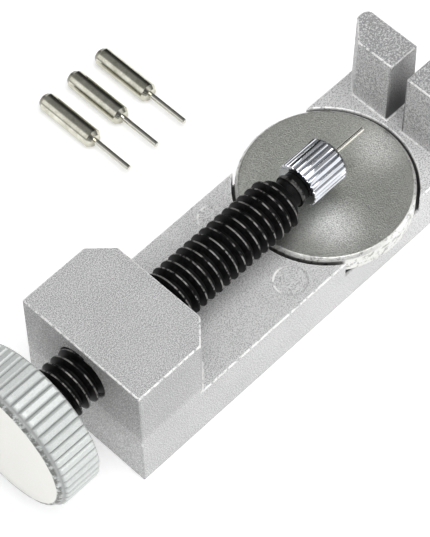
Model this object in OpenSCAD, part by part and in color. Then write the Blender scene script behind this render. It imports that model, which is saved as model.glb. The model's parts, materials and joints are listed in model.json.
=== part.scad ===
// Bench press for pushing the pins out of watch bracelet links.
// +X runs along the pressing screw from the thumb wheel to the two posts, +Z is up,
// and the origin is at the middle of the flat underside.

/* [Casting] */
// Length of the casting
body_len = 64.2; // [62:0.1:80]
// Width of the casting
body_w = 21; // [19:0.5:23]
// Height of the flat base
base_h = 9.4; // [8.5:0.1:10]
// Height of the screw block and of the posts
head_h = 21; // [20.5:0.1:26]
// Length of the screw block
block_len = 14; // [10:0.5:16]
// Size of the corner cuts that face the turntable
corner_cut = 3.1; // [1:0.1:4]
// Thickness of the two posts
post_t = 5.1; // [4:0.1:6]
// Width of the slot between the posts
slot_w = 2.7; // [2:0.1:4]
// Lean of the posts' front faces, in degrees
draft = 2; // [0:0.5:3]
// Radius of the two far corners
end_r = 1.2; // [0.5:0.1:2]
// Diameter of the round ejector marks
mark_d = 4.6; // [3:0.1:5]

/* [Turntable] */
// Diameter of the turntable
table_d = 24.5; // [22:0.5:26]
// Thickness of the turntable
table_t = 3; // [2.5:0.1:3.2]
// Distance from the casting's front face to the turntable's axis
table_at = 45.2; // [44.5:0.1:46]
// Height of the turntable's top over the base
table_rise = 0.45; // [0.3:0.05:0.6]
// Gap round the turntable
table_gap = 0.45; // [0.3:0.05:0.6]
// Edge chamfer of the turntable
table_edge = 0.45; // [0.2:0.05:0.6]
// Gap under the turntable
table_under = 0.55; // [0.3:0.05:1]
// Diameter of the threaded stud
stud_d = 6; // [5:0.5:8]
// Pitch of the stud's thread
stud_pitch = 1; // [0.75:0.25:1.25]

/* [Pressing screw] */
// Outside diameter of the thread
screw_d = 7.9; // [7.5:0.1:8]
// Pitch of the thread
screw_pitch = 1.411; // [1.25:0.001:1.5]
// Height of the screw's axis
screw_z = 15.35; // [15.2:0.05:15.6]
// Reach of the thread in front of the casting's front face
screw_reach = 36.8; // [34:0.1:38]
// Diameter of the neck that carries the cap
neck_d = 4.3; // [4.2:0.1:4.6]
// Length of the neck
neck_len = 2.75; // [2.5:0.05:4]
// Diameter of the ring on the neck
ring_d = 4.9; // [4.8:0.1:5.4]

/* [Thumb wheel] */
// Diameter of the thumb wheel
wheel_d = 22; // [18:0.5:24]
// Thickness of the thumb wheel
wheel_t = 6.7; // [5.5:0.1:8]
// Space between the thumb wheel and the casting
wheel_gap = 7.3; // [7:0.1:9]
// Number of flutes in the rim
wheel_flutes = 52; // [36:1:60]

/* [Pin cap] */
// Diameter of the pin cap
cap_d = 6.7; // [6.3:0.1:7]
// Length of the pin cap
cap_len = 6.4; // [5.5:0.1:6.8]
// Number of flutes round the cap
cap_flutes = 22; // [16:1:26]

/* [Driver pins] */
// Diameter of a pin's shank
shank_d = 2.9; // [2.4:0.1:3]
// Length of a pin's shank
shank_len = 10.3; // [8:0.1:10.8]
// Diameter of the fitted pin's needle
needle_d = 0.65; // [0.5:0.05:0.8]
// Diameter of the spare pins' needles
spare_needle_d = 0.9; // [0.6:0.05:1]
// Length of needle that stands out of the fitted pin's shank
needle_len = 7.25; // [6:0.05:8]
// Length of needle that stands out of a spare pin's shank
spare_needle_len = 6.7; // [5:0.1:8]
// Distance between spare pins
spare_step = 5.45; // [4:0.05:8]

/* [Hidden] */
$fn = 96;

eps = 0.01;                // overcut of the tools that cut to a face
fit = 0.05;                // running clearance on a radius
over = 0.1;                // a fluted bar's chamfers are cut from this far outside it
front_x = -body_len / 2;   // the casting's front face
rear_x = body_len / 2;     // the posts' rear faces
block_end = front_x + block_len;
post_x = rear_x - post_t;  // the posts' front faces at the top
table_x = front_x + table_at;
table_top = base_h + table_rise;
table_low = table_top - table_t;
pocket_floor = table_low - table_under;
pocket_r = table_d / 2 + table_gap;
mark_x = table_x - 14.2;
mark_y = body_w / 3;
mark_depth = 0.1;
stud_grip = 2;             // depth of the stud in the turntable
stud_foot = 0.6;           // the stud's end stays this far above the bench

thread_depth = 0.6134 * screw_pitch;
thread_end = front_x + screw_reach;
wheel_rear = front_x - wheel_gap;
wheel_front = wheel_rear - wheel_t;
hub_depth = 5;             // depth of the screw in the wheel
hub_recess = 0.5;          // the thread runs this far into the wheel's rear face
neck_end = thread_end + neck_len;
stub_d = 4;                // threaded stub inside the cap
stub_len = 3.6;
ring_t = 0.6;              // thickness of the ring on the neck
cap_front = neck_end + cap_len;
cap_wall = 0.9;            // front wall that the needle comes through
shank_front = cap_front - cap_wall - fit;
shank_back = shank_front - shank_len;
nose_len = 0.6;            // cone at a shank's front
grip_len = 3;              // length of needle held in the shank
spare_x = front_x + 32.35;
spare_y = 42.0;            // rear ends of the spare pins

cast_grey = [0.74, 0.74, 0.75];
black_oxide = [0.07, 0.07, 0.07];
nickel = [0.72, 0.70, 0.66];

// Turns a shape drawn along +Z so that it lies along +X from x
module along_x(x, z = screw_z) {
    translate([x, 0, z]) rotate([0, 90, 0]) children();
}

// Quarter-round corner points about c, from angle a
function corner(c, r, a) = [for (i = [0:6]) c + r * [cos(a + 15 * i), sin(a + 15 * i)]];

module base_outline() {
    w = body_w / 2;
    polygon(concat(
        [[front_x, w], [front_x, -w]],
        corner([rear_x - end_r, end_r - w], end_r, -90),
        corner([rear_x - end_r, w - end_r], end_r, 0)));
}

module block_outline() {
    w = body_w / 2;
    polygon([[front_x, -w], [block_end - corner_cut, -w], [block_end, corner_cut - w],
             [block_end, w - corner_cut], [block_end - corner_cut, w], [front_x, w]]);
}

// Both posts, with foot material that the leaning cuts take back
module posts() {
    w = body_w / 2;
    lean = (head_h - base_h) * tan(draft);
    difference() {
        linear_extrude(head_h) intersection() {
            base_outline();
            translate([post_x - lean, -w]) square([post_t + lean, body_w]);
        }
        translate([post_x, 0, head_h]) rotate([0, draft, 0])
            translate([-10, -w - 1, -30]) cube([10, body_w + 2, 31]);
        for (side = [-1, 1])
            translate([post_x, side * (w - corner_cut), head_h]) rotate([0, 0, -side * 45])
                rotate([0, draft, 0]) translate([-10, -10, -30]) cube([10, 20, 31]);
        translate([post_x - 5, -slot_w / 2, base_h]) cube([post_t + 6, slot_w, head_h]);
    }
}

module base_casting() {
    color(cast_grey) difference() {
        union() {
            linear_extrude(base_h) base_outline();
            linear_extrude(head_h) block_outline();
            intersection() {
                posts();
                translate([0, -body_w, base_h - eps]) cube([body_len, 2 * body_w, head_h]);
            }
        }
        translate([table_x, 0, pocket_floor]) cylinder(r = pocket_r, h = head_h, $fn = 160);
        translate([table_x, 0, -1]) cylinder(r = stud_d / 2 + fit, h = base_h);
        along_x(front_x - 1) cylinder(r = screw_d / 2 + fit, h = block_len + 2);
        for (side = [-1, 1])
            translate([mark_x, side * mark_y, base_h - mark_depth])
                cylinder(d = mark_d, h = 1, $fn = 48);
    }
}

// Half outline of the whole ridges that fit between z0 and z1, ending at z1,
// as [radius, height] points
function ridges(r, depth, pitch, z0, z1) = [
    for (i = [floor((z1 - z0) / pitch) : -1 : 1])
        for (k = [[0, 0.88], [1, 0.565], [1, 0.435], [0, 0.12]])
            [r - depth + k[0] * depth, z1 - (i - 1 + k[1]) * pitch]];

module press_screw() {
    r = screw_d / 2;
    root = r - thread_depth;
    low = wheel_rear - hub_depth;
    end = neck_end + stub_len;
    ring = neck_end - 0.9;
    color(black_oxide) along_x(low) difference() {
        rotate_extrude() polygon(concat(
            [[0, 0], [root, 0]],
            ridges(r, thread_depth, screw_pitch, wheel_rear - hub_recess + fit - low, thread_end - low),
            [[root, thread_end - low], [neck_d / 2, thread_end - low],
             [neck_d / 2, ring - ring_t - low], [ring_d / 2, ring - ring_t - low],
             [ring_d / 2, ring - low], [neck_d / 2, ring - low],
             [neck_d / 2, neck_end - fit - low], [stub_d / 2, neck_end - fit - low],
             [stub_d / 2, end - low], [0, end - low]]));
        translate([0, 0, shank_back - fit - low])
            cylinder(r = shank_d / 2 + fit, h = shank_len, $fn = 48);
    }
}

// Round bar with v-shaped flutes, count of them, cut to depth between lands
module fluted(d, count, depth, land, h) {
    step = 360 / count;
    linear_extrude(h) polygon([
        for (i = [0 : count - 1])
            for (k = [[0, -land / 2], [0, land / 2], [1, 0.5]])
                (d / 2 - k[0] * depth) * [cos((i + k[1]) * step), sin((i + k[1]) * step)]]);
}

module thumb_wheel() {
    r = wheel_d / 2;
    lip = 0.7;       // width of the smooth band round the outer face
    bevel = 0.4;
    color("gainsboro") along_x(wheel_front) difference() {
        intersection() {
            fluted(wheel_d, wheel_flutes, 0.35, 0.72, wheel_t);
            rotate_extrude($fn = 160) polygon([[0, 0], [r - lip - 0.1, 0], [r - bevel, lip],
                [r + over, lip + bevel + over], [r + over, wheel_t - bevel - over],
                [r - bevel, wheel_t], [0, wheel_t]]);
        }
        translate([0, 0, wheel_t - hub_depth])
            cylinder(r = screw_d / 2 - thread_depth, h = hub_depth + 1);
        translate([0, 0, wheel_t - hub_recess]) cylinder(r = screw_d / 2 + fit, h = 1);
    }
}

module pin_cap() {
    r = cap_d / 2;
    color("silver") along_x(neck_end) difference() {
        intersection() {
            fluted(cap_d, cap_flutes, 0.22, 0.5, cap_len);
            rotate_extrude() polygon([[0, 0], [r - 0.15, 0], [r + over, 0.15 + over],
                [r + over, cap_len - 0.6 - over], [r - 0.5, cap_len], [0, cap_len]]);
        }
        translate([0, 0, -1]) cylinder(r = stub_d / 2 + fit, h = cap_len - cap_wall + 1);
        cylinder(r = needle_d / 2 + fit, h = cap_len + 1, $fn = 32);
    }
}

// Shank standing on its rear end, with a hole of diameter d for its needle
module shank(d) {
    r = shank_d / 2;
    chamfer = 0.35;
    difference() {
        rotate_extrude($fn = 64) polygon([
            [0, 0], [r - chamfer, 0], [r, chamfer], [r, shank_len - nose_len],
            [r - 0.45, shank_len], [0, shank_len]]);
        translate([0, 0, shank_len - grip_len])
            cylinder(d = d, h = grip_len + 1, $fn = 32);
    }
}

module needle(d, reach) {
    translate([0, 0, shank_len - grip_len]) cylinder(d = d, h = grip_len + reach, $fn = 32);
}

module driver_pin_shank() { color(nickel) along_x(shank_back) shank(needle_d); }
module driver_pin_needle() { color("dimgray") along_x(shank_back) needle(needle_d, needle_len); }

module turntable() {
    r = table_d / 2;
    color("darkgray") translate([table_x, 0, table_low]) difference() {
        rotate_extrude($fn = 160) polygon([[0, 0], [r - 0.2, 0], [r, 0.2], [r, table_t - table_edge],
                                           [r - table_edge, table_t], [0, table_t]]);
        translate([0, 0, -1]) cylinder(r = stud_d / 2 + fit, h = stud_grip + 1);
    }
}

module turntable_stud() {
    r = stud_d / 2;
    depth = 0.6134 * stud_pitch;
    top = table_low + stud_grip - fit;
    color("dimgray") translate([table_x, 0, 0]) rotate_extrude() polygon(concat(
        [[0, stud_foot], [r - depth, stud_foot]],
        ridges(r, depth, stud_pitch, stud_foot, pocket_floor),
        [[r - depth, pocket_floor], [r, table_low], [r, top], [0, top]]));
}

module at_spare(i) {
    translate([spare_x + (i - 1) * spare_step, spare_y, shank_d / 2]) rotate([90, 0, 0]) children();
}

module spare_pin_shank(i) { color(nickel) at_spare(i) shank(spare_needle_d); }
module spare_pin_needle(i) { color("dimgray") at_spare(i) needle(spare_needle_d, spare_needle_len); }

base_casting();
press_screw();
thumb_wheel();
pin_cap();
driver_pin_shank();
driver_pin_needle();
turntable();
turntable_stud();
spare_pin_shank(1);  // spare_pin_1_shank
spare_pin_shank(2);  // spare_pin_2_shank
spare_pin_shank(3);  // spare_pin_3_shank
spare_pin_needle(1);  // spare_pin_1_needle
spare_pin_needle(2);  // spare_pin_2_needle
spare_pin_needle(3);  // spare_pin_3_needle
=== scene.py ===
import json
import math

import bmesh
import bpy
from mathutils import Matrix, Vector

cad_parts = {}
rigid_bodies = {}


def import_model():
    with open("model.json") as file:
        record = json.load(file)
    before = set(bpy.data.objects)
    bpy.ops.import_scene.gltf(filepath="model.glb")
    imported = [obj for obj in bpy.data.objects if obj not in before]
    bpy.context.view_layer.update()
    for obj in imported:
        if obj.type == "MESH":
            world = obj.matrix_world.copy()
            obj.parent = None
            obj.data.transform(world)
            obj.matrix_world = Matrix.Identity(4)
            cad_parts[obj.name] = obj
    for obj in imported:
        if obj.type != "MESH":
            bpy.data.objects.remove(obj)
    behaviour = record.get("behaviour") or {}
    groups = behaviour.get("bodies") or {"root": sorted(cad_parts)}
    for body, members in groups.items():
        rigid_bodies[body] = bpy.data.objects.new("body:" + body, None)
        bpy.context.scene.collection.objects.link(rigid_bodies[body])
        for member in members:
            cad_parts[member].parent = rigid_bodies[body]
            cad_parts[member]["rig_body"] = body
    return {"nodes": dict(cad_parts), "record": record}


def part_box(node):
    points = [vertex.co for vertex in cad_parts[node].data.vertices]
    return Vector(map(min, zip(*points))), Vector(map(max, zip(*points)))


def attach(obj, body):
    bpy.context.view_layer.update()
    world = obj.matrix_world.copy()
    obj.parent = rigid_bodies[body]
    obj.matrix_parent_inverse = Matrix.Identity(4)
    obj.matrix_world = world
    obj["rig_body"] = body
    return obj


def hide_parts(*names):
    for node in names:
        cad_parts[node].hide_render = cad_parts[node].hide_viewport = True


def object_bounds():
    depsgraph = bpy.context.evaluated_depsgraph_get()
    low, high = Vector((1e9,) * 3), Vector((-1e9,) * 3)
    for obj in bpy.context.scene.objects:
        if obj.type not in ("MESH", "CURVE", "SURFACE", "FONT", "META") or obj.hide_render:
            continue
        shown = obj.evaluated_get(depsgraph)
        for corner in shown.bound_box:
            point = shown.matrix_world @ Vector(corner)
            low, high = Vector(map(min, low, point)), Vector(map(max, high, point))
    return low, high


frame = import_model()
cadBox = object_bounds()
nodes = frame["nodes"]
print("frame loaded:", len(nodes), "CAD nodes")

xAxis, yAxis, zAxis = Vector((1, 0, 0)), Vector((0, 1, 0)), Vector((0, 0, 1))
edgeMarkLayer = "edgeMark"  # face attribute: 1 on rounded outside edges, where the metal is rubbed bright, partly a painted highlight; on the pins it marks the rear chamfer, which gets a painted dark reflection
ratios = {c["joint"]: c["ratio"] for c in frame["record"]["behaviour"]["couplings"]}


class Wire:
    # one output of a material's nodes; arithmetic on wires adds Math nodes
    def __init__(self, finish, socket):
        self.finish, self.socket = finish, socket

    def maths(self, operation, first, second):
        return self.finish.add("ShaderNodeMath", {"operation": operation}, {0: first, 1: second})

    def __add__(self, other):
        return self.maths("ADD", self, other)

    def __radd__(self, other):
        return self.maths("ADD", other, self)

    def __sub__(self, other):
        return self.maths("SUBTRACT", self, other)

    def __rsub__(self, other):
        return self.maths("SUBTRACT", other, self)

    def __mul__(self, other):
        return self.maths("MULTIPLY", self, other)

    def __rmul__(self, other):
        return self.maths("MULTIPLY", other, self)

    def __truediv__(self, other):
        return self.maths("DIVIDE", self, other)

    def __pow__(self, other):
        return self.maths("POWER", self, other)

    def larger(self, other):
        return self.maths("MAXIMUM", self, other)

    def step(self, low, high):  # 0 below low, 1 above high, smooth between
        settings = {"interpolation_type": "SMOOTHSTEP"}
        return self.finish.add("ShaderNodeMapRange", settings,
                               {"Value": self, "From Min": low, "From Max": high})


class Finish:
    # the nodes of a material, or of the sky, and the means to add to them
    def __init__(self, owner, coords="Object"):
        owner.use_nodes = True
        self.owner, self.tree = owner, owner.node_tree
        self.coords = self.add("ShaderNodeTexCoord", output=coords)

    def add(self, kind, settings=None, sockets=None, output=0):
        node = self.tree.nodes.new(kind)
        for key, value in (settings or {}).items():
            setattr(node, key, value)
        for key, value in (sockets or {}).items():
            self.feed(node.inputs[key], value)
        return Wire(self, node.outputs[output])

    def feed(self, socket, value):
        if isinstance(value, Wire):
            self.tree.links.new(value.socket, socket)
        elif socket.type == "RGBA" and len(value) == 3:
            socket.default_value = (*value, 1)
        else:
            socket.default_value = value

    def noise(self, size, detail=2.0, rough=0.5, coords=None):  # size of one grain in metres
        return self.add("ShaderNodeTexNoise", {},
                        {"Vector": coords or self.coords, "Scale": 1 / size, "Detail": detail,
                         "Roughness": rough})

    def stretched(self, scale):
        return self.add("ShaderNodeMapping", {"vector_type": "POINT"},
                        {"Vector": self.coords, "Scale": scale})

    def place(self):  # the three coordinates as separate wires
        parts = self.add("ShaderNodeSeparateXYZ", {}, {0: self.coords}).socket.node.outputs
        return [Wire(self, socket) for socket in parts]

    def radius(self, first, second):  # distance from an axis, given its two cross coordinates
        return (first * first + second * second) ** 0.5

    def along(self, direction):  # how far the coordinates point in a direction
        return self.add("ShaderNodeVectorMath", {"operation": "DOT_PRODUCT"},
                        {0: self.coords, 1: Vector(direction).normalized()}, "Value")

    def worn(self):
        return self.add("ShaderNodeAttribute", {"attribute_name": edgeMarkLayer}, output="Fac")

    def mix(self, factor, colourA, colourB):
        return self.add("ShaderNodeMix", {"data_type": "RGBA"}, {0: factor, 6: colourA, 7: colourB}, 2)

    def bump(self, height, distance, strength):
        return self.add("ShaderNodeBump", {},
                        {"Height": height, "Distance": distance, "Strength": strength})

    def surface(self, **sockets):
        shader = self.tree.nodes["Principled BSDF"]
        for key, value in sockets.items():
            self.feed(shader.inputs[key.replace("_", " ")], value)
        return self.owner


def newFinish(name):
    return Finish(bpy.data.materials.new(name))


def newMesh():
    bm = bmesh.new()
    bm.faces.layers.float.new(edgeMarkLayer)
    return bm


def sharpEdges(bm, least=25, keep=None):
    found = []
    for edge in bm.edges:
        if len(edge.link_faces) == 2 and edge.calc_face_angle(0) > math.radians(least):
            if keep is None or keep(edge):
                found.append(edge)
    return found


def roundEdges(bm, edges, width, segments=3, wear=1.0, clamp=True):
    layer = bm.faces.layers.float[edgeMarkLayer]
    made = bmesh.ops.bevel(bm, geom=edges, offset=width, offset_type="OFFSET", affect="EDGES",
                           segments=segments, profile=0.5, material=-1, clamp_overlap=clamp)
    for face in made["faces"]:
        face[layer] = wear


def lathe(bm, axis, centre, outline, steps, closed=False):
    # spins (along, radius) points about an axis through centre
    side = xAxis if axis == zAxis else zAxis
    chain = [bm.verts.new(centre + axis * along + side * radius) for along, radius in outline]
    pairs = list(zip(chain, chain[1:])) + ([(chain[-1], chain[0])] if closed else [])
    edges = [bm.edges.new(pair) for pair in pairs]
    bmesh.ops.spin(bm, geom=chain + edges, cent=centre, axis=axis, dvec=(0, 0, 0),
                   angle=2 * math.pi, steps=steps, use_merge=True)
    tidyMesh(bm)


def tidyMesh(bm):
    bmesh.ops.remove_doubles(bm, verts=bm.verts, dist=2e-7)
    bmesh.ops.recalc_face_normals(bm, faces=bm.faces)


def finishPiece(bm, name, node, material, smooth=32, flatOver=1.0):
    # faces larger than flatOver, in square metres, stay flat, so rounded edges don't shade across them
    mesh = bpy.data.meshes.new(name)
    bm.to_mesh(mesh)
    bm.free()
    mesh.set_sharp_from_angle(angle=math.radians(smooth))
    mesh.polygons.foreach_set("use_smooth", [face.area < flatOver for face in mesh.polygons])
    mesh.materials.append(material)
    piece = bpy.data.objects.new(name, mesh)
    bpy.context.scene.collection.objects.link(piece)
    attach(piece, nodes[node]["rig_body"])
    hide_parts(node)
    print("made", name, len(mesh.polygons), "faces")


castingSet = {
    "edgeRadius": 0.00020,
    "markEdge": 0.00005,
    "markAt": (-0.0011, 0.007),
    "markRadius": 0.0023,
    "baseTop": 0.0094,
    "blockTop": 0.0209,
    "halfWide": 0.0105,
    "front": -0.0321,
    "slotHalf": 0.0015,
    "pocketGap": (0.0004, 0.0007),  # shade beyond the turntable's rim
    "flatOver": 0.000008,           # square metres
    "postsEnd": (0.014, 0.026),     # the posts' end of the casting is coarser
    "flankEnd": (-0.025, 0.020),
    "grain": 0.00014,
    "cloudSize": 0.005,
    "rubbedSize": 0.0007,
    "contrast": (4.6, 6.0),         # speckle at the block and at the posts
    "floorBounceLight": 0.20,
    "postTone": 0.04,
    "postTopPaintedShade": 0.24,
    "flankPaintedShade": 0.14,
    "frontPaintedShade": 0.18,
    "ringWidth": (0.00006, 0.00020),
    "rubbedAndHighlightShare": 0.85,
    "dullShare": 0.4,
    "ringShare": 0.25,
    "gapShadeShare": 0.9,
    "colourLow": (0.30, 0.30, 0.305),
    "colourHigh": (0.73, 0.73, 0.73),
    "colourWornAndHighlight": (0.97, 0.97, 0.96),
    "colourDull": (0.34, 0.34, 0.34),
    "colourGapShade": (0.05, 0.05, 0.05),
    "metallic": 0.2,
    "roughness": 0.58,
    "relief": 0.00005,
}


def castAlloy(values):
    f = newFinish("castAlloy")
    x, y, z = f.place()
    low, high, half = values["baseTop"], values["blockTop"], values["halfWide"]
    tableLow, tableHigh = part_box("turntable")
    tableX, tableR = (tableLow.x + tableHigh.x) / 2, (tableHigh.y - tableLow.y) / 2
    fine = f.noise(values["grain"], 2, 0.6)
    coarse = f.noise(values["grain"] * 1.6, 3, 0.65)
    cloud = f.noise(values["cloudSize"], 3, 0.5)
    atPosts = x.step(*values["postsEnd"])
    atBase = 1 - z.step(low + 0.0002, low + 0.002)
    grain = fine + (coarse - fine) * (0.1 + 0.55 * atPosts)
    block, posts = values["contrast"]
    speck = (grain - 0.5) * (block + (posts - block) * atPosts) + 0.5 + (cloud - 0.5) * 0.25
    side = (y * y) ** 0.5
    onTop = z.step(high - 0.0003, high - 0.0001)
    flank = side.step(half - 0.0001, half - 0.00002) * (1 - x.step(*values["flankEnd"]))
    frontFace = 1 - x.step(values["front"] + 0.00002, values["front"] + 0.0001)
    # painted light: lighter below the base's top, for light bounced off the floor; painted shade: darker
    # post tops, flanks and front face
    toneAndPaintedLight = atBase * values["floorBounceLight"] + atPosts * (values["postTone"] - onTop * values["postTopPaintedShade"])
    toneAndPaintedLight = toneAndPaintedLight - flank * values["flankPaintedShade"] - frontFace * values["frontPaintedShade"]
    colour = f.mix((speck + toneAndPaintedLight).step(0.1, 0.9), values["colourLow"], values["colourHigh"])
    # the upper edges of the block and of the base are rubbed bright in places, partly a painted
    # highlight; the others are dull
    topEdge = z.step(high - 0.0005, high - 0.0002).larger(
        (1 - z.step(low + 0.0002, low + 0.0005)) * z.step(low - 0.0006, low - 0.0003))
    broken = f.noise(values["rubbedSize"], 3, 0.6).step(0.36, 0.54)
    rubbedAndHighlight = f.worn() * topEdge * broken
    dull = f.worn() * (1 - topEdge) * values["dullShare"]
    colour = f.mix(dull, colour, values["colourDull"])
    # round ejector marks, with a painted highlight along one side
    markX, markY = values["markAt"]
    offRing = f.radius(x - markX, side - markY) - values["markRadius"]
    ringIn, ringOut = values["ringWidth"]
    onRing = (1 - (offRing * offRing).step(ringIn ** 2, ringOut ** 2)) * atBase
    lit = onRing * (y - y / side * markY - x + markX).step(0.0008, 0.0028) * broken
    colour = f.mix(onRing * values["ringShare"], colour, values["colourDull"])
    # rubbed edges, partly painted highlight, and the marks' painted highlight
    colour = f.mix(rubbedAndHighlight.larger(lit) * values["rubbedAndHighlightShare"], colour, values["colourWornAndHighlight"])
    # painted shade in the turntable's pocket and low in the slot between the posts
    gapIn, gapOut = values["pocketGap"]
    inPocket = (1 - f.radius(x - tableX, y).step(tableR + gapIn, tableR + gapOut)) * (
        1 - z.step(low - 0.0006, low - 0.0003)) * (1 - side.step(half - 0.0004, half - 0.0002))
    inSlot = (1 - side.step(values["slotHalf"], values["slotHalf"] + 0.0002)) * atPosts
    inSlot = inSlot * z.step(low, low + 0.0004) * (1 - z.step(low + 0.001, high - 0.0006) * 0.6)
    colour = f.mix(inPocket.larger(inSlot) * values["gapShadeShare"], colour, values["colourGapShade"])
    rough = values["roughness"] + (fine - 0.5) * 0.3 - rubbedAndHighlight * 0.2
    return f.surface(Base_Color=colour, Metallic=values["metallic"], Roughness=rough,
                     Normal=f.bump(grain, values["relief"], 0.7))


def makeCasting():
    values = castingSet
    low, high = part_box("base_casting")
    bm = newMesh()
    bm.from_mesh(nodes["base_casting"].data)
    bmesh.ops.remove_doubles(bm, verts=bm.verts, dist=1e-6)
    bmesh.ops.dissolve_limit(bm, angle_limit=math.radians(1), verts=bm.verts, edges=bm.edges)
    markX, markY = values["markAt"]

    def onMark(edge):
        return all(abs(v.co.z - values["baseTop"]) < 0.0003 and
                   math.hypot(v.co.x - markX, abs(v.co.y) - markY) < values["markRadius"] + 0.0003
                   for v in edge.verts)

    roundEdges(bm, sharpEdges(bm, 25, onMark), values["markEdge"], 1, 0.0)
    others = sharpEdges(bm, 28, lambda edge: not onMark(edge))
    roundEdges(bm, others, values["edgeRadius"], 3, 1.0, False)
    for v in bm.verts:  # mitres at slanting edges are kept within the casting's size
        for i in range(3):
            v.co[i] = min(max(v.co[i], low[i]), high[i])
    finishPiece(bm, "castBody", "base_casting", castAlloy(values), 32, values["flatOver"])


makeCasting()


screwSet = {
    "pitch": ratios["screw_travel"] * 2 * math.pi,
    "depth": 0.000866,
    "steps": 56,
    "crestLine": ((0, 0), (0.09, 0), (0.405, 0.92), (0.44, 1),  # shares of pitch and depth
                  (0.56, 1), (0.595, 0.92), (0.91, 0), (1, 0)),
    "seat": 0.00045,       # how far the thread reaches into the wheel
    "leadStep": 0.0006,    # from the neck up to the chamfer's low end
    "neckLength": 0.00275,
    "neckRadius": 0.00215,
    "ringRadius": 0.00245,
    "ringAt": 0.0009,      # from the cap back to the ring
    "ringWidth": 0.0006,
    "stubRadius": 0.0020,
    "gap": 0.00005,        # between the stub, its bore and their neighbours
    "edge": 0.00009,
    "patchSize": 0.0011,
    "mottleSize": 0.0006,
    "crestShine": 0.55,
    "ringHighlight": 0.2,
    "gloss": 0.07,
    "colour": (0.003, 0.003, 0.003),
    "dust": (0.009, 0.009, 0.009),
    "crestWearAndHighlight": (0.48, 0.47, 0.46),
    "roughness": 0.45,
}


def blackOxide(values, middle, radius, neckStart):
    f = newFinish("blackOxide")
    x, y, z = f.place()
    out = f.radius(y, z - middle.z)
    patches = f.noise(values["patchSize"], 3, 0.6).step(0.4, 0.6)
    mottle = f.noise(values["mottleSize"], 3, 0.6)
    colour = f.mix(mottle.step(0.35, 0.7), values["colour"], values["dust"])
    # the crests are worn lighter in patches and carry a painted highlight; the ring's edge gets only a
    # painted highlight
    crestWearAndHighlight = out.step(radius - 0.00007, radius - 0.00001) * patches
    ring = x.step(neckStart, neckStart + 0.0002) * out.step(
        values["ringRadius"] - 0.00008, values["ringRadius"] - 0.00002)
    shine = crestWearAndHighlight * values["crestShine"] + ring * patches * values["ringHighlight"]
    colour = f.mix(shine, colour, values["crestWearAndHighlight"])
    rough = values["roughness"] + (mottle - 0.5) * 0.25
    return f.surface(Base_Color=colour, Metallic=shine, Roughness=rough,
                     Specular_IOR_Level=values["gloss"], Normal=f.bump(mottle, 0.00002, 0.6))


def makeScrew():
    values = screwSet
    low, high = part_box("press_screw")
    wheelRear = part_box("thumb_wheel")[1].x
    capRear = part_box("pin_cap")[0].x
    shankLow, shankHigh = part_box("driver_pin_shank")
    middle = Vector((0, 0, (low.z + high.z) / 2))
    radius = (high.y - low.y) / 2
    root, neckRadius, gap = radius - values["depth"], values["neckRadius"], values["gap"]
    start, end = wheelRear - values["seat"], capRear - values["neckLength"]
    bore = (shankHigh.z - shankLow.z) / 2 + gap
    pitch, steps = values["pitch"], values["steps"]
    bm = newMesh()
    turns = math.ceil((end - start) / pitch) + 2
    chain = [bm.verts.new(middle + xAxis * (start - pitch + along * pitch) +
                          zAxis * (root + share * values["depth"]))
             for along, share in values["crestLine"]]
    edges = [bm.edges.new(pair) for pair in zip(chain, chain[1:])]
    bmesh.ops.spin(bm, geom=chain + edges, cent=middle, axis=xAxis, dvec=xAxis * (pitch / steps),
                   angle=2 * math.pi * turns, steps=steps * turns, use_merge=False)
    bmesh.ops.remove_doubles(bm, verts=bm.verts, dist=1e-6)
    for at, normal in ((start, -xAxis), (end, xAxis)):
        bmesh.ops.bisect_plane(bm, geom=bm.verts[:] + bm.edges[:] + bm.faces[:], dist=1e-7,
                               plane_co=(at, 0, 0), plane_no=normal, clear_outer=True)
    for v in bm.verts:  # chamfer of 45 degrees at the front end
        across = v.co - middle - xAxis * v.co.x
        most = neckRadius + values["leadStep"] + (end - v.co.x)
        if across.length > most:
            v.co -= across * (1 - most / across.length)
    # plain rear end, held in the wheel
    hub = [bm.verts.new(middle + xAxis * at + zAxis * out)
           for at, out in ((start, root - 0.0002), (low.x, root - 0.0002), (low.x, 0))]
    hubEdges = [bm.edges.new(pair) for pair in zip(hub, hub[1:])]
    bmesh.ops.spin(bm, geom=hub + hubEdges, cent=middle, axis=xAxis, dvec=(0, 0, 0),
                   angle=2 * math.pi, steps=steps, use_merge=True)
    # neck, ring, stub and the bore for the driver pin
    ring = capRear - values["ringAt"]
    ringRear = ring - values["ringWidth"]
    outline = ((end, neckRadius), (ringRear, neckRadius), (ringRear, values["ringRadius"]),
               (ring, values["ringRadius"]), (ring, neckRadius), (capRear - gap, neckRadius),
               (capRear - gap, values["stubRadius"]), (high.x, values["stubRadius"]),
               (high.x, bore), (shankLow.x - gap, bore), (shankLow.x - gap, 0))
    neck = [bm.verts.new(middle + xAxis * at + zAxis * out) for at, out in outline]
    neckEdges = [bm.edges.new(pair) for pair in zip(neck, neck[1:])]
    bmesh.ops.spin(bm, geom=neck + neckEdges, cent=middle, axis=xAxis, dvec=(0, 0, 0),
                   angle=2 * math.pi, steps=steps, use_merge=True)
    bmesh.ops.remove_doubles(bm, verts=bm.verts, dist=2e-7)

    def openRim(at):
        return [e for e in bm.edges if len(e.link_faces) == 1
                and all(abs(v.co.x - at) < 2e-6 for v in e.verts)]

    bmesh.ops.bridge_loops(bm, edges=openRim(start))
    bmesh.ops.bridge_loops(bm, edges=openRim(end))
    tidyMesh(bm)
    inNeck = sharpEdges(bm, 40, lambda edge: all(v.co.x > end + 0.0001 for v in edge.verts))
    roundEdges(bm, inNeck, values["edge"], 2)
    finishPiece(bm, "pressScrew", "press_screw", blackOxide(values, middle, radius, end),
                40)


makeScrew()


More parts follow.
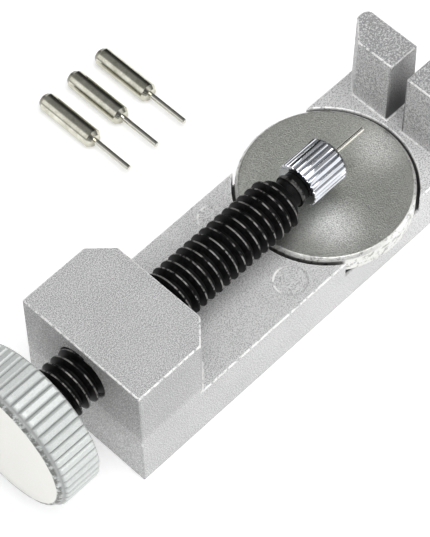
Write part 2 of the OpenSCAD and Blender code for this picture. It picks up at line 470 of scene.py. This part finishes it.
def cutFlutes(bm, middle, values, radius, front, frontEnd, sign):
    # lowers the vertices to flat lands with v grooves between; the lands' front ends are rounded
    land, step = values["land"], 2 * math.pi / values["flutes"]
    for v in bm.verts:
        across = v.co - middle - xAxis * (v.co.x - middle.x)
        if across.length < radius * 0.8:
            continue
        turn = math.atan2(across.z, across.y) / step
        share = abs(turn - round(turn))  # 0 at a land's middle, 0.5 at a groove's bottom
        back = max(0.0, 1 - sign * (v.co.x - front) / frontEnd)
        width = land * math.sqrt(max(0.0, 1 - min(1.0, back) ** 2))
        flat = radius * math.cos(land * step) / math.cos(min(share, land) * step)
        groove = max(0.0, (share - width) / (0.5 - width)) * values["depth"]
        most = flat - groove
        if across.length > most:
            v.co -= across * (1 - most / across.length)


wheelSet = {
    "flutes": 52,
    "perFlute": 8,
    "depth": 0.00038,
    "land": 0.29,
    "lip": 0.0007,
    "bevel": 0.0004,
    "roundEnd": 0.0009,        # length of the rounded front ends between the grooves
    "fit": 0.00001,
    "faceColour": (0.75, 0.745, 0.71),
    "rimColour": (0.68, 0.71, 0.695),
    "grooveShade": (0.26, 0.27, 0.265),
    "bandShade": (0.08, 0.08, 0.075),
    "speckColour": (0.36, 0.37, 0.365),
    "grooveShadeShare": 0.75,
    "bandShadeShare": 0.9,
    "grain": 0.00018,
    "ringSize": 0.0002,        # turning marks on the face
    "cloudSize": 0.003,
    "bandBreakupSize": 0.0009,
    "metallic": (0.85, 0.30),  # on the face and on the rim
    "roughness": 0.34,
    "relief": 0.000012,
}


def wheelAlloy(values, middle, radius):
    f = newFinish("wheelAlloy")
    x, y, z = f.place()
    out = f.radius(y, z - middle.z)
    onRim = out.step(radius - 0.0010, radius - 0.0007)
    inGroove = 1 - out.step(radius - values["depth"], radius - 0.00003)
    inFront = 1 - x.step(middle.x + 0.0003, middle.x + 0.0007)
    band = out.step(radius - 0.0012, radius - 0.0010) * inFront
    rings = f.noise(values["ringSize"], 2, 0.5, f.add("ShaderNodeCombineXYZ", {}, {0: out, 1: x}))
    cloud = f.noise(values["cloudSize"], 3, 0.5)
    grain = f.noise(values["grain"], 2, 0.6)
    bandBreakup = f.noise(values["bandBreakupSize"], 4, 0.7).step(0.34, 0.56)
    colour = f.mix(onRim.larger(band), values["faceColour"], values["rimColour"])
    # painted shade in the grooves between the rim's lands
    colour = f.mix(onRim * inGroove * (1 - band) * values["grooveShadeShare"], colour, values["grooveShade"])
    # painted shade in the band between the face and the rim, broken up by noise
    colour = f.mix(band * bandBreakup * values["bandShadeShare"], colour, values["bandShade"])
    specks = (grain - 0.3).step(0, 0.5) * (0.08 + onRim * 0.22)
    colour = f.mix(specks, colour, values["speckColour"])
    rough = values["roughness"] + onRim * 0.14 + (grain - 0.5) * 0.16 + (cloud - 0.5) * 0.1
    onFace, onSide = values["metallic"]
    return f.surface(Base_Color=colour, Metallic=onFace - onRim * (onFace - onSide), Roughness=rough,
                     Normal=f.bump(rings * 0.7 + grain * 0.3, values["relief"], 0.5))


def makeWheel():
    values = wheelSet
    low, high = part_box("thumb_wheel")
    screwLow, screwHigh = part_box("press_screw")
    screwRadius = (screwHigh.y - screwLow.y) / 2
    middle = Vector((0, 0, (low.z + high.z) / 2))
    radius = (high.z - low.z) / 2
    lip, bevel = values["lip"], values["bevel"]
    front, rear = low.x, high.x
    bore = screwRadius - screwSet["depth"] + values["fit"]
    seatRadius = screwRadius + screwSet["gap"]
    rim = [(front, 0), (front, radius - 0.003), (front, radius - lip - 0.00022),
           (front + 0.00006, radius - lip - 0.00008)]
    rim += [(front + lip * (0.12 + 0.88 * i / 4), radius - lip - 0.00005 + 0.00032 * i / 4)
            for i in range(5)]
    rim += [(front + lip + 0.00012, radius - 0.00024), (front + lip + 0.00028, radius - 0.00008)]
    rim += [(front + lip + 0.00045 + 0.0006 * i, radius) for i in range(4)]
    rim += [(rear - bevel, radius), (rear - bevel * 0.5, radius - bevel * 0.4),
            (rear - bevel * 0.1, radius - bevel * 0.8), (rear, radius - bevel - 0.0001),
            (rear, seatRadius), (rear - 0.0005, seatRadius), (rear - 0.0005, bore),
            (screwLow.x, bore), (screwLow.x, 0)]
    bm = newMesh()
    lathe(bm, xAxis, middle, rim, values["flutes"] * values["perFlute"])
    cutFlutes(bm, middle, values, radius, front + lip, values["roundEnd"], 1)
    finishPiece(bm, "thumbWheel", "thumb_wheel",
                wheelAlloy(values, middle + xAxis * front, radius), 24)


makeWheel()


capSet = {
    "flutes": 22,
    "perFlute": 10,
    "depth": 0.00024,
    "land": 0.26,
    "bevel": 0.0005,
    "roundEnd": 0.0004,
    "wall": 0.0009,
    "rearEdge": 0.00018,
    "smudgeSize": 0.0012,
    "bevelReflectionShare": 0.92,
    "colour": (0.80, 0.82, 0.87),
    "smudged": (0.64, 0.66, 0.71),
    "bevelReflection": (0.10, 0.10, 0.11),
    "roughness": 0.08,
}


def capChrome(values, front):
    f = newFinish("capChrome")
    x = f.place()[0]
    smudge = f.noise(values["smudgeSize"], 3, 0.55)
    bevelRear = front - values["bevel"]
    onBevel = x.step(bevelRear - 0.00006, bevelRear + 0.00006)
    colour = f.mix(smudge, values["colour"], values["smudged"])
    # painted dark reflection on the front bevel and the front face
    colour = f.mix(onBevel * values["bevelReflectionShare"], colour, values["bevelReflection"])
    rough = values["roughness"] + (smudge - 0.4) * 0.10
    return f.surface(Base_Color=colour, Metallic=1.0, Roughness=rough,
                     Normal=f.bump(f.noise(0.0005, 2), 0.000003, 0.5))


def makeCap():
    values = capSet
    low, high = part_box("pin_cap")
    middle = Vector((0, 0, (low.z + high.z) / 2))
    radius = (high.z - low.z) / 2
    bevel, rear, front = values["bevel"], low.x, high.x
    inside, rimStart = front - values["wall"], rear + values["rearEdge"]
    needleLow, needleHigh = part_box("driver_pin_needle")
    needle = (needleHigh.y - needleLow.y) / 2 + screwSet["gap"]
    stub = screwSet["stubRadius"] + screwSet["gap"]
    outline = [(rear, stub), (rear, radius - 0.0002), (rear + 0.00006, radius - 0.00006)]
    outline += [(rimStart + (front - rimStart - bevel) * i / 3, radius) for i in range(4)]
    outline += [(front - bevel * 0.85, radius - 0.0001), (front - bevel * 0.15, radius - 0.00042),
                (front, radius - 0.00052), (front, needle), (inside, needle), (inside, stub)]
    bm = newMesh()
    lathe(bm, xAxis, middle, outline, values["flutes"] * values["perFlute"], True)
    cutFlutes(bm, middle, values, radius, front - bevel * 0.6, values["roundEnd"], -1)
    finishPiece(bm, "pinCap", "pin_cap", capChrome(values, front), 28)


makeCap()


tableSet = {
    "edge": 0.00045,
    "edgeRound": 0.00008,
    "flatOver": 0.000001,  # square metres
    "studRadius": 0.00305,
    "studDepth": 0.002,
    "colour": (0.58, 0.59, 0.545),
    "bright": (0.92, 0.92, 0.89),
    "dark": (0.20, 0.20, 0.19),
    "edgeColour": (0.90, 0.90, 0.88),
    "chipColour": (0.16, 0.16, 0.15),
    "patches": ((0.0090, -0.0012, 0.0062), (-0.0038, -0.0059, 0.0065)),  # painted reflections on the top: x, y from the middle, reach
    "grain": 0.00018,
    "mottleSize": 0.0012,
    "cloudSize": 0.007,
    "chipSize": 0.0008,
    "nearShade": 0.42,
    "speckShare": 0.5,
    "edgeShare": 0.7,
    "chipShare": 0.6,
    "roughness": 0.38,
    "relief": 0.00008,
}


def tableSteel(values, middle, radius):
    f = newFinish("tableSteel")
    x, y = f.place()[:2]
    out = f.radius(x - middle.x, y - middle.y)
    grain = f.noise(values["grain"], 2, 0.6)
    mottle = f.noise(values["mottleSize"], 4, 0.6)
    cloud = f.noise(values["cloudSize"], 2, 0.5)
    onEdge = out.step(radius - 0.0005, radius - 0.0004)
    chips = f.noise(values["chipSize"], 4, 0.7).step(0.5, 0.62)
    chips = chips * out.step(radius - 0.0011, radius - 0.0002)
    # lighter random clouds, and painted reflections at the given places
    rubbedAndHighlight = cloud.step(0.3, 0.9) * 0.3
    for atX, atY, reach in values["patches"]:
        rubbedAndHighlight = rubbedAndHighlight.larger(1 - f.radius(x - (middle.x + atX), y - (middle.y + atY)).step(0, reach))
    colour = f.mix((rubbedAndHighlight * 0.9 + (mottle - 0.5) * 0.4).step(0, 1), values["colour"], values["bright"])
    near = 1 - (y - middle.y).step(-0.007, 0.002)  # painted shade: the near half is darker
    colour = f.mix(near * (1 - rubbedAndHighlight * 0.8) * values["nearShade"], colour, values["dark"])
    specks = (grain * 0.8 + mottle * 0.2).step(0.42, 0.62) * values["speckShare"]
    colour = f.mix(specks, colour, values["dark"])
    colour = f.mix(onEdge * values["edgeShare"], colour, values["edgeColour"])
    colour = f.mix(chips * values["chipShare"], colour, values["chipColour"])
    rough = values["roughness"] + (mottle - 0.5) * 0.12 + (grain - 0.5) * 0.15
    return f.surface(Base_Color=colour, Metallic=1.0, Roughness=rough,
                     Normal=f.bump(grain, values["relief"], 0.8))


def makeTable():
    values = tableSet
    low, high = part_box("turntable")
    middle = Vector(((low.x + high.x) / 2, 0, 0))
    radius, edge = (high.y - low.y) / 2, values["edge"]
    seat, seatTop = values["studRadius"], low.z + values["studDepth"]
    outline = [(high.z, 0), (high.z, radius * 0.5), (high.z, radius - edge), (high.z - edge, radius),
               (low.z + 0.0002, radius), (low.z, radius - 0.0002), (low.z, seat), (seatTop, seat),
               (seatTop, 0)]
    bm = newMesh()
    lathe(bm, zAxis, middle, outline, 192)
    roundEdges(bm, sharpEdges(bm, 30), values["edgeRound"], 2)
    finishPiece(bm, "liftTable", "turntable", tableSteel(values, middle, radius),
                30, values["flatOver"])


makeTable()


pinSet = {
    "rearChamfer": ((0, 0.00050), (0.00008, 0.00040), (0.00066, 0.00004), (0.00070, 0)),
    "nose": 0.0006,
    "noseStep": 0.00045,
    "grip": 0.003,             # how far a needle reaches into its shank
    "needleEdge": 0.00008,
    "grain": 0.00018,
    "lineSize": 0.0004,
    "smudgeSize": 0.0015,
    "undersideShadeShare": 0.85,
    "chamferReflectionShare": 0.8,
    "nickelRoughness": 0.15,
    "steelRoughness": 0.16,
    "nickel": (0.80, 0.79, 0.69),
    "nickelDark": (0.52, 0.51, 0.42),
    "undersideShade": (0.40, 0.39, 0.32),
    "chamferReflection": (0.16, 0.155, 0.12),
    "steel": (0.55, 0.54, 0.48),
    "steelBright": (0.80, 0.79, 0.73),
}


def pinNickel(values, radius):
    f = newFinish("pinNickel")
    z = f.place()[2]
    lines = f.noise(values["lineSize"], 3, 0.6, f.stretched((1, 0.12, 1)))
    grain = f.noise(values["grain"], 2, 0.6)
    smudge = f.noise(values["smudgeSize"], 3, 0.5)
    colour = f.mix((smudge * 0.6 + grain * 0.4).step(0.3, 0.7), values["nickel"], values["nickelDark"])
    low = 1 - z.step(radius * 0.5, radius * 1.5)  # painted shade on the lower half, where a pin lies on the floor
    colour = f.mix(low * values["undersideShadeShare"], colour, values["undersideShade"])
    # painted dark reflection on the rear chamfer
    colour = f.mix(f.worn() * values["chamferReflectionShare"], colour, values["chamferReflection"])
    rough = values["nickelRoughness"] + (smudge - 0.4) * 0.08 + (grain - 0.5) * 0.08
    return f.surface(Base_Color=colour, Metallic=1.0, Roughness=rough,
                     Normal=f.bump(lines * 0.6 + grain * 0.4, 0.000008, 0.6))


def needleSteel(values):
    f = newFinish("needleSteel")
    grain = f.noise(values["lineSize"], 3, 0.6)
    colour = f.mix(grain, values["steel"], values["steelBright"])
    rough = values["steelRoughness"] + (grain - 0.5) * 0.1
    return f.surface(Base_Color=colour, Metallic=1.0, Roughness=rough,
                     Normal=f.bump(grain, 0.000003, 0.5))


def makePin(shankNode, needleNode, axis, names, nickel, steel):
    values = pinSet
    low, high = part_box(shankNode)
    needleLow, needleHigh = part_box(needleNode)
    along = 0 if axis == xAxis else 1  # the pin lies along X or Y
    length, reach = (high - low)[along], (needleHigh - needleLow)[along]
    radius, thick = (high.z - low.z) / 2, (needleHigh.z - needleLow.z) / 2
    rear = (low + high) / 2 - axis * length / 2
    gripStart, tip, edge = length - values["grip"], length - values["grip"] + reach, values["needleEdge"]
    outline = [(0, 0)] + [(at, radius - inset) for at, inset in values["rearChamfer"]]
    outline += [(length - values["nose"], radius), (length, radius - values["noseStep"]),
               (length, thick), (gripStart, thick), (gripStart, 0)]
    bm = newMesh()
    lathe(bm, axis, rear, outline, 72)
    layer = bm.faces.layers.float[edgeMarkLayer]
    for face in bm.faces:  # painted dark reflection on the chamfer of the rear end
        at = (face.calc_center_median() - rear).dot(axis)
        face[layer] = 1.0 if 0.00004 < at < values["rearChamfer"][-1][0] else 0.0
    finishPiece(bm, names[0], shankNode, nickel, 8)
    outline = [(gripStart, 0), (gripStart, thick), (tip - edge, thick), (tip, thick - edge), (tip, 0)]
    bm = newMesh()
    lathe(bm, axis, rear, outline, 40)
    finishPiece(bm, names[1], needleNode, steel, 30)


pinLow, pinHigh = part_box("spare_pin_1_shank")
nickel, steel = pinNickel(pinSet, (pinHigh.z - pinLow.z) / 2), needleSteel(pinSet)
makePin("driver_pin_shank", "driver_pin_needle", xAxis, ("driverShank", "driverNeedle"), nickel, steel)
for i in (1, 2, 3):
    makePin(f"spare_pin_{i}_shank", f"spare_pin_{i}_needle", -yAxis,
            (f"spareShank{i}", f"spareNeedle{i}"), nickel, steel)


# the stud keeps its CAD shape
studSet = {
    "colour": (0.34, 0.34, 0.33),
    "worn": (0.55, 0.55, 0.53),
    "grain": 0.0003,
    "cloudSize": 0.002,
    "roughness": 0.38,
    "relief": 0.00001,
}


def plainSteel(values):
    f = newFinish("plainSteel")
    grain = f.noise(values["grain"], 3, 0.6)
    cloud = f.noise(values["cloudSize"], 3, 0.5)
    colour = f.mix(cloud, values["colour"], values["worn"])
    rough = values["roughness"] + (grain - 0.5) * 0.2
    return f.surface(Base_Color=colour, Metallic=1.0, Roughness=rough,
                     Normal=f.bump(grain, values["relief"], 0.5))


studFinish = plainSteel(studSet)
for materialSlot in nodes["turntable_stud"].material_slots:
    materialSlot.material = studFinish
print("stud finished")


stageSet = {
    "floorColour": (0.80, 0.80, 0.80),
    "floorCloud": (0.84, 0.84, 0.84),
    "floorSize": 3,
    "floorBelow": 0.00003,              # keeps the floor clear of the faces that stand on it
    "skyToward": (-0.62, -0.72, 0.15),  # the brighter half of the studio
    "skyCards": (                       # middle, edge and brightness of each bright card
        ((-0.72, 0.34, 0.58), (0.86, 0.98), 1.05),
        ((0.35, -0.80, 0.30), (0.88, 0.97), 1.25),
    ),
    "skyGap": (-0.20, -0.78, 0.58),     # middle of an unlit part among the bright ones
    "skyGapEdge": (0.90, 0.98),
    "skyGapShare": 0.85,
    "skyAway": (0.70, 0.70, 0.15),      # the side left without light
    "skyAwayEdge": (0.67, 0.92),
    "skyDeep": 0.03,
    "skyDark": 0.23,
    "skyBright": 0.50,
    "skyBlend": (-0.12, 0.30),          # where the darker half turns into the brighter one
    "floorGlow": 0.40,
    "lights": (                         # name, place, size, watts
        ("keyLight", (-0.05, -0.20, 0.85), 0.80, 5.8),
        ("sideLight", (0.11, -0.11, 0.03), 0.06, 0.03),
    ),
    "aim": (-0.00668, 0.00144, 0.0094),  # point that the camera looks at
    "azimuth": 45.6,
    "elevation": 57.82,
    "roll": -1.4,
    "distance": 0.37634,
    "lens": 191.24,
}


def makeFloor(values):
    f = newFinish("paleFloor")
    cloud = f.noise(0.05, 3, 0.5)
    shade = f.mix(cloud, values["floorColour"], values["floorCloud"])
    material = f.surface(Base_Color=shade, Roughness=0.9, Emission_Color=(1, 1, 1),
                         Emission_Strength=values["floorGlow"])
    bm = bmesh.new()
    below = Matrix.Translation((0, 0, cadBox[0].z - values["floorBelow"]))
    bmesh.ops.create_grid(bm, x_segments=2, y_segments=2, size=values["floorSize"], matrix=below)
    mesh = bpy.data.meshes.new("paleFloor")
    bm.to_mesh(mesh)
    bm.free()
    mesh.materials.append(material)
    floor = bpy.data.objects.new("paleFloor", mesh)
    bpy.context.scene.collection.objects.link(floor)


def makeSky(values):
    world = bpy.data.worlds.new("studioSky")
    bpy.context.scene.world = world
    f = Finish(world, "Generated")
    bright = f.along(values["skyToward"]).step(*values["skyBlend"])
    deep = f.along(values["skyAway"]).step(*values["skyAwayEdge"])
    dark = values["skyDark"] - (values["skyDark"] - values["skyDeep"]) * deep
    gap = f.along(values["skyGap"]).step(*values["skyGapEdge"])
    light = (dark + (values["skyBright"] - dark) * bright) * (1 - gap * values["skyGapShare"])
    for toward, edge, strength in values["skyCards"]:
        light = light.larger(f.along(toward).step(*edge) * strength)
    back = f.tree.nodes["Background"]
    f.feed(back.inputs["Strength"], light)
    f.feed(back.inputs["Color"], (1, 1, 1))


def makeLight(name, place, size, watts):
    light = bpy.data.lights.new(name, "AREA")
    light.size, light.energy = size, watts
    lamp = bpy.data.objects.new(name, light)
    bpy.context.scene.collection.objects.link(lamp)
    lamp.location = place
    lamp.rotation_mode = "QUATERNION"
    lamp.rotation_quaternion = (-Vector(place)).to_track_quat("-Z", "Y")


def makeCamera(values):
    az, el = math.radians(values["azimuth"]), math.radians(values["elevation"])
    back = Vector((-math.cos(el) * math.cos(az), -math.cos(el) * math.sin(az), math.sin(el)))
    data = bpy.data.cameras.new("camera")
    data.lens, data.sensor_width = values["lens"], 36
    data.clip_start, data.clip_end = 0.01, 10
    camera = bpy.data.objects.new("camera", data)
    bpy.context.scene.collection.objects.link(camera)
    camera.location = Vector(values["aim"]) + back * values["distance"]
    turn = (-back).to_track_quat("-Z", "Y").to_matrix()
    roll = Matrix.Rotation(math.radians(values["roll"]), 3, back)
    camera.rotation_mode = "QUATERNION"
    camera.rotation_quaternion = (roll @ turn).to_quaternion()
    bpy.context.scene.camera = camera


makeFloor(stageSet)
makeSky(stageSet)
for light in stageSet["lights"]:
    makeLight(*light)
makeCamera(stageSet)
bpy.context.scene.view_settings.view_transform = "Standard"
print("stage set")
